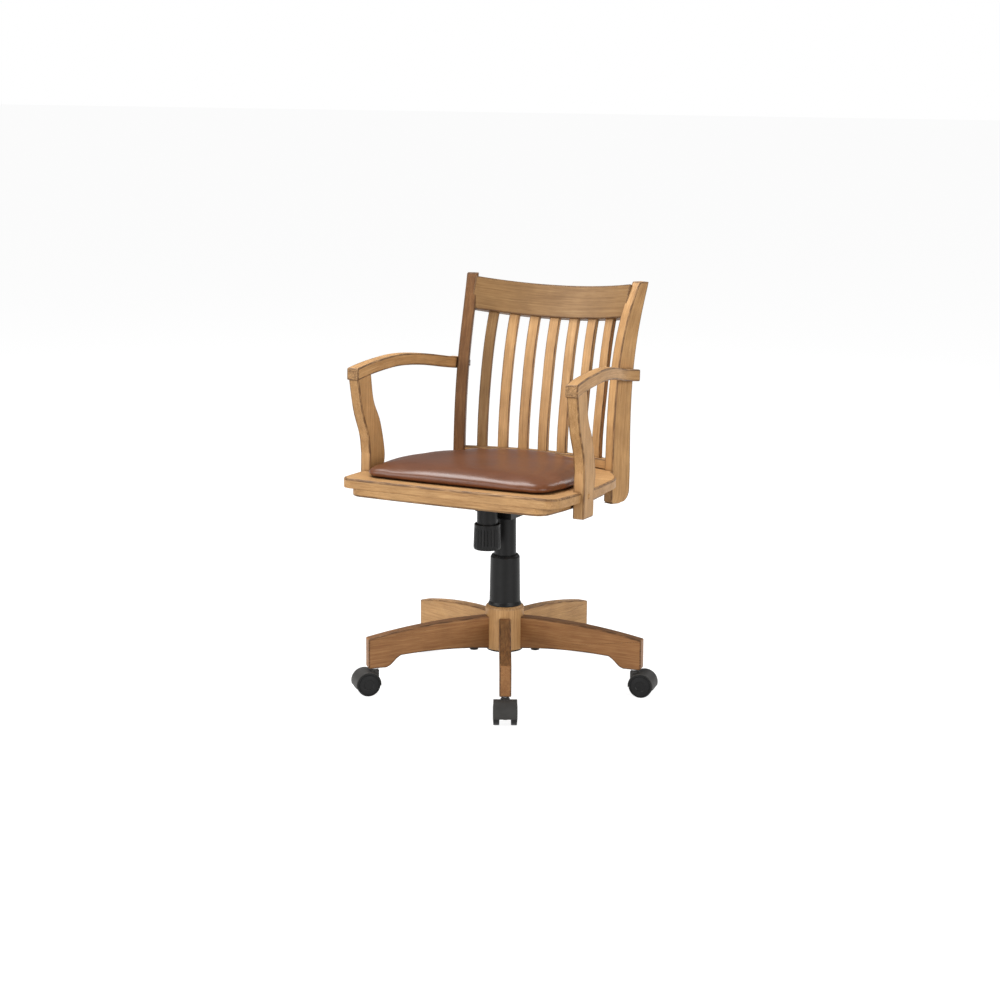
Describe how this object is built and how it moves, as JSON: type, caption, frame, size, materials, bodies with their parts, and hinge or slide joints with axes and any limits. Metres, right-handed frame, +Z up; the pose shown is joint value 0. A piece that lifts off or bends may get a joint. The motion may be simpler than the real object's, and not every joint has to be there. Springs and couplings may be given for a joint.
{
  "type": "bankers swivel chair",
  "caption": "Wooden banker's chair with slatted back, open arms and a padded seat, on a height-adjusting, tilting swivel column and a wooden star base with twin-wheel casters.",
  "frame": {"origin": "on the floor, on the axis of the column", "axes": "+Z up along the column; the sitter faces -Y; +X is to the right seen from in front of the chair"},
  "size_m": [0.6388, 0.6388, 0.8457],
  "materials": {
    "chair_wood": "satin clear coat over worn brown stain",
    "base_wood": "satin brown stain",
    "cushion_vinyl": "smooth brown vinyl",
    "black_plastic": "satin black",
    "black_steel": "satin black paint",
    "bright_steel": "plain zinc plate"
  },
  "bodies": {
    "base": {"base_hub": "base_wood", "leg_1": "base_wood", "leg_2": "base_wood", "leg_3": "base_wood", "leg_4": "base_wood", "leg_5": "base_wood", "hub_plate": "black_steel", "base_screws": "bright_steel", "stem_sockets": "bright_steel", "gas_tube": "black_steel", "tube_bushing": "black_plastic", "cover_lower": "black_plastic"},
    "spindle": {"piston_rod": "bright_steel", "rod_retainers": "bright_steel"},
    "lift": {"piston_cylinder": "bright_steel", "cover_upper": "black_plastic", "mechanism_housing": "black_steel", "tilt_pin": "bright_steel", "tension_spring": "bright_steel"},
    "seat": {"seat_bracket": "black_steel", "bracket_screws": "bright_steel", "seat_apron": "chair_wood", "seat_board": "chair_wood", "seat_cushion": "cushion_vinyl", "lower_rail": "chair_wood", "crest_rail": "chair_wood", "back_slats": "chair_wood", "back_post_right": "chair_wood", "back_post_left": "chair_wood", "arm_right": "chair_wood", "arm_left": "chair_wood", "arm_post_right": "chair_wood", "arm_post_left": "chair_wood", "frame_bolts": "bright_steel", "side_plugs": "chair_wood"},
    "tension_rod": {"tension_bolt": "bright_steel"},
    "knob": {"tension_knob": "black_plastic"},
    "lever": {"lift_lever": "bright_steel", "lever_grip": "black_plastic"},
    "valve": {"valve_pin": "bright_steel"},
    "caster_1": {"caster_housing_1": "black_plastic", "caster_pins_1": "bright_steel"},
    "wheel_left_1": {"wheel_left_1": "black_plastic"},
    "wheel_right_1": {"wheel_right_1": "black_plastic"},
    "caster_2": {"caster_housing_2": "black_plastic", "caster_pins_2": "bright_steel"},
    "wheel_left_2": {"wheel_left_2": "black_plastic"},
    "wheel_right_2": {"wheel_right_2": "black_plastic"},
    "caster_3": {"caster_housing_3": "black_plastic", "caster_pins_3": "bright_steel"},
    "wheel_left_3": {"wheel_left_3": "black_plastic"},
    "wheel_right_3": {"wheel_right_3": "black_plastic"},
    "caster_4": {"caster_housing_4": "black_plastic", "caster_pins_4": "bright_steel"},
    "wheel_left_4": {"wheel_left_4": "black_plastic"},
    "wheel_right_4": {"wheel_right_4": "black_plastic"},
    "caster_5": {"caster_housing_5": "black_plastic", "caster_pins_5": "bright_steel"},
    "wheel_left_5": {"wheel_left_5": "black_plastic"},
    "wheel_right_5": {"wheel_right_5": "black_plastic"}
  },
  "joints": [
    {"name": "seat_swivel", "type": "hinge", "parent": "base", "child": "spindle", "pos_m": [0, 0, 0.15], "axis": [0, 0, 1], "continuous": true},
    {"name": "seat_lift", "type": "slide", "parent": "spindle", "child": "lift", "axis": [0, 0, 1], "range_m": [-0.065, 0.015]},
    {"name": "seat_tilt", "type": "hinge", "parent": "lift", "child": "seat", "pos_m": [0, 0.025, 0.396], "axis": [-1, 0, 0], "range_deg": [0, 12], "stiffness_Nm_per_rad": 200, "springref_deg": -11.46},
    {"name": "tension_rod_slide", "type": "slide", "parent": "lift", "child": "tension_rod", "axis": [0, 0, 1], "range_m": [0, 0.0255], "deforming": ["tension_spring"]},
    {"name": "tension_knob_turn", "type": "hinge", "parent": "tension_rod", "child": "knob", "pos_m": [0, -0.084, 0.33], "axis": [0, 0, 1], "range_deg": [-720, 720]},
    {"name": "lever_pull", "type": "hinge", "parent": "lift", "child": "lever", "pos_m": [-0.02, 0, 0.3998], "axis": [0, 1, 0], "range_deg": [0, 6], "stiffness_Nm_per_rad": 2, "springref_deg": -2.86},
    {"name": "valve_press", "type": "slide", "parent": "lift", "child": "valve", "axis": [0, 0, -1], "range_m": [0, 0.0025]},
    {"name": "caster_swivel_1", "type": "hinge", "parent": "base", "child": "caster_1", "pos_m": [0.12984, -0.25483, 0.06], "axis": [0, 0, 1], "continuous": true},
    {"name": "wheel_left_roll_1", "type": "hinge", "parent": "caster_1", "child": "wheel_left_1", "pos_m": [0.13801, -0.27087, 0.025], "axis": [0.891, 0.454, 0], "continuous": true},
    {"name": "wheel_right_roll_1", "type": "hinge", "parent": "caster_1", "child": "wheel_right_1", "pos_m": [0.13801, -0.27087, 0.025], "axis": [0.891, 0.454, 0], "continuous": true},
    {"name": "caster_swivel_2", "type": "hinge", "parent": "base", "child": "caster_2", "pos_m": [0.28248, 0.04474, 0.06], "axis": [0, 0, 1], "continuous": true},
    {"name": "wheel_left_roll_2", "type": "hinge", "parent": "caster_2", "child": "wheel_left_2", "pos_m": [0.30026, 0.04756, 0.025], "axis": [-0.1564, 0.9877, 0], "continuous": true},
    {"name": "wheel_right_roll_2", "type": "hinge", "parent": "caster_2", "child": "wheel_right_2", "pos_m": [0.30026, 0.04756, 0.025], "axis": [-0.1564, 0.9877, 0], "continuous": true},
    {"name": "caster_swivel_3", "type": "hinge", "parent": "base", "child": "caster_3", "pos_m": [0.04474, 0.28248, 0.06], "axis": [0, 0, 1], "continuous": true},
    {"name": "wheel_left_roll_3", "type": "hinge", "parent": "caster_3", "child": "wheel_left_3", "pos_m": [0.04756, 0.30026, 0.025], "axis": [-0.9877, 0.1564, 0], "continuous": true},
    {"name": "wheel_right_roll_3", "type": "hinge", "parent": "caster_3", "child": "wheel_right_3", "pos_m": [0.04756, 0.30026, 0.025], "axis": [-0.9877, 0.1564, 0], "continuous": true},
    {"name": "caster_swivel_4", "type": "hinge", "parent": "base", "child": "caster_4", "pos_m": [-0.25483, 0.12984, 0.06], "axis": [0, 0, 1], "continuous": true},
    {"name": "wheel_left_roll_4", "type": "hinge", "parent": "caster_4", "child": "wheel_left_4", "pos_m": [-0.27087, 0.13801, 0.025], "axis": [-0.454, -0.891, 0], "continuous": true},
    {"name": "wheel_right_roll_4", "type": "hinge", "parent": "caster_4", "child": "wheel_right_4", "pos_m": [-0.27087, 0.13801, 0.025], "axis": [-0.454, -0.891, 0], "continuous": true},
    {"name": "caster_swivel_5", "type": "hinge", "parent": "base", "child": "caster_5", "pos_m": [-0.20223, -0.20223, 0.06], "axis": [0, 0, 1], "continuous": true},
    {"name": "wheel_left_roll_5", "type": "hinge", "parent": "caster_5", "child": "wheel_left_5", "pos_m": [-0.21496, -0.21496, 0.025], "axis": [0.7071, -0.7071, 0], "continuous": true},
    {"name": "wheel_right_roll_5", "type": "hinge", "parent": "caster_5", "child": "wheel_right_5", "pos_m": [-0.21496, -0.21496, 0.025], "axis": [0.7071, -0.7071, 0], "continuous": true}
  ],
  "couplings": [
    {"joint": "tension_rod_slide", "follows": "seat_tilt", "m_per_rad": 0.1195},
    {"joint": "valve_press", "follows": "lever_pull", "m_per_rad": 0.02}
  ]
}
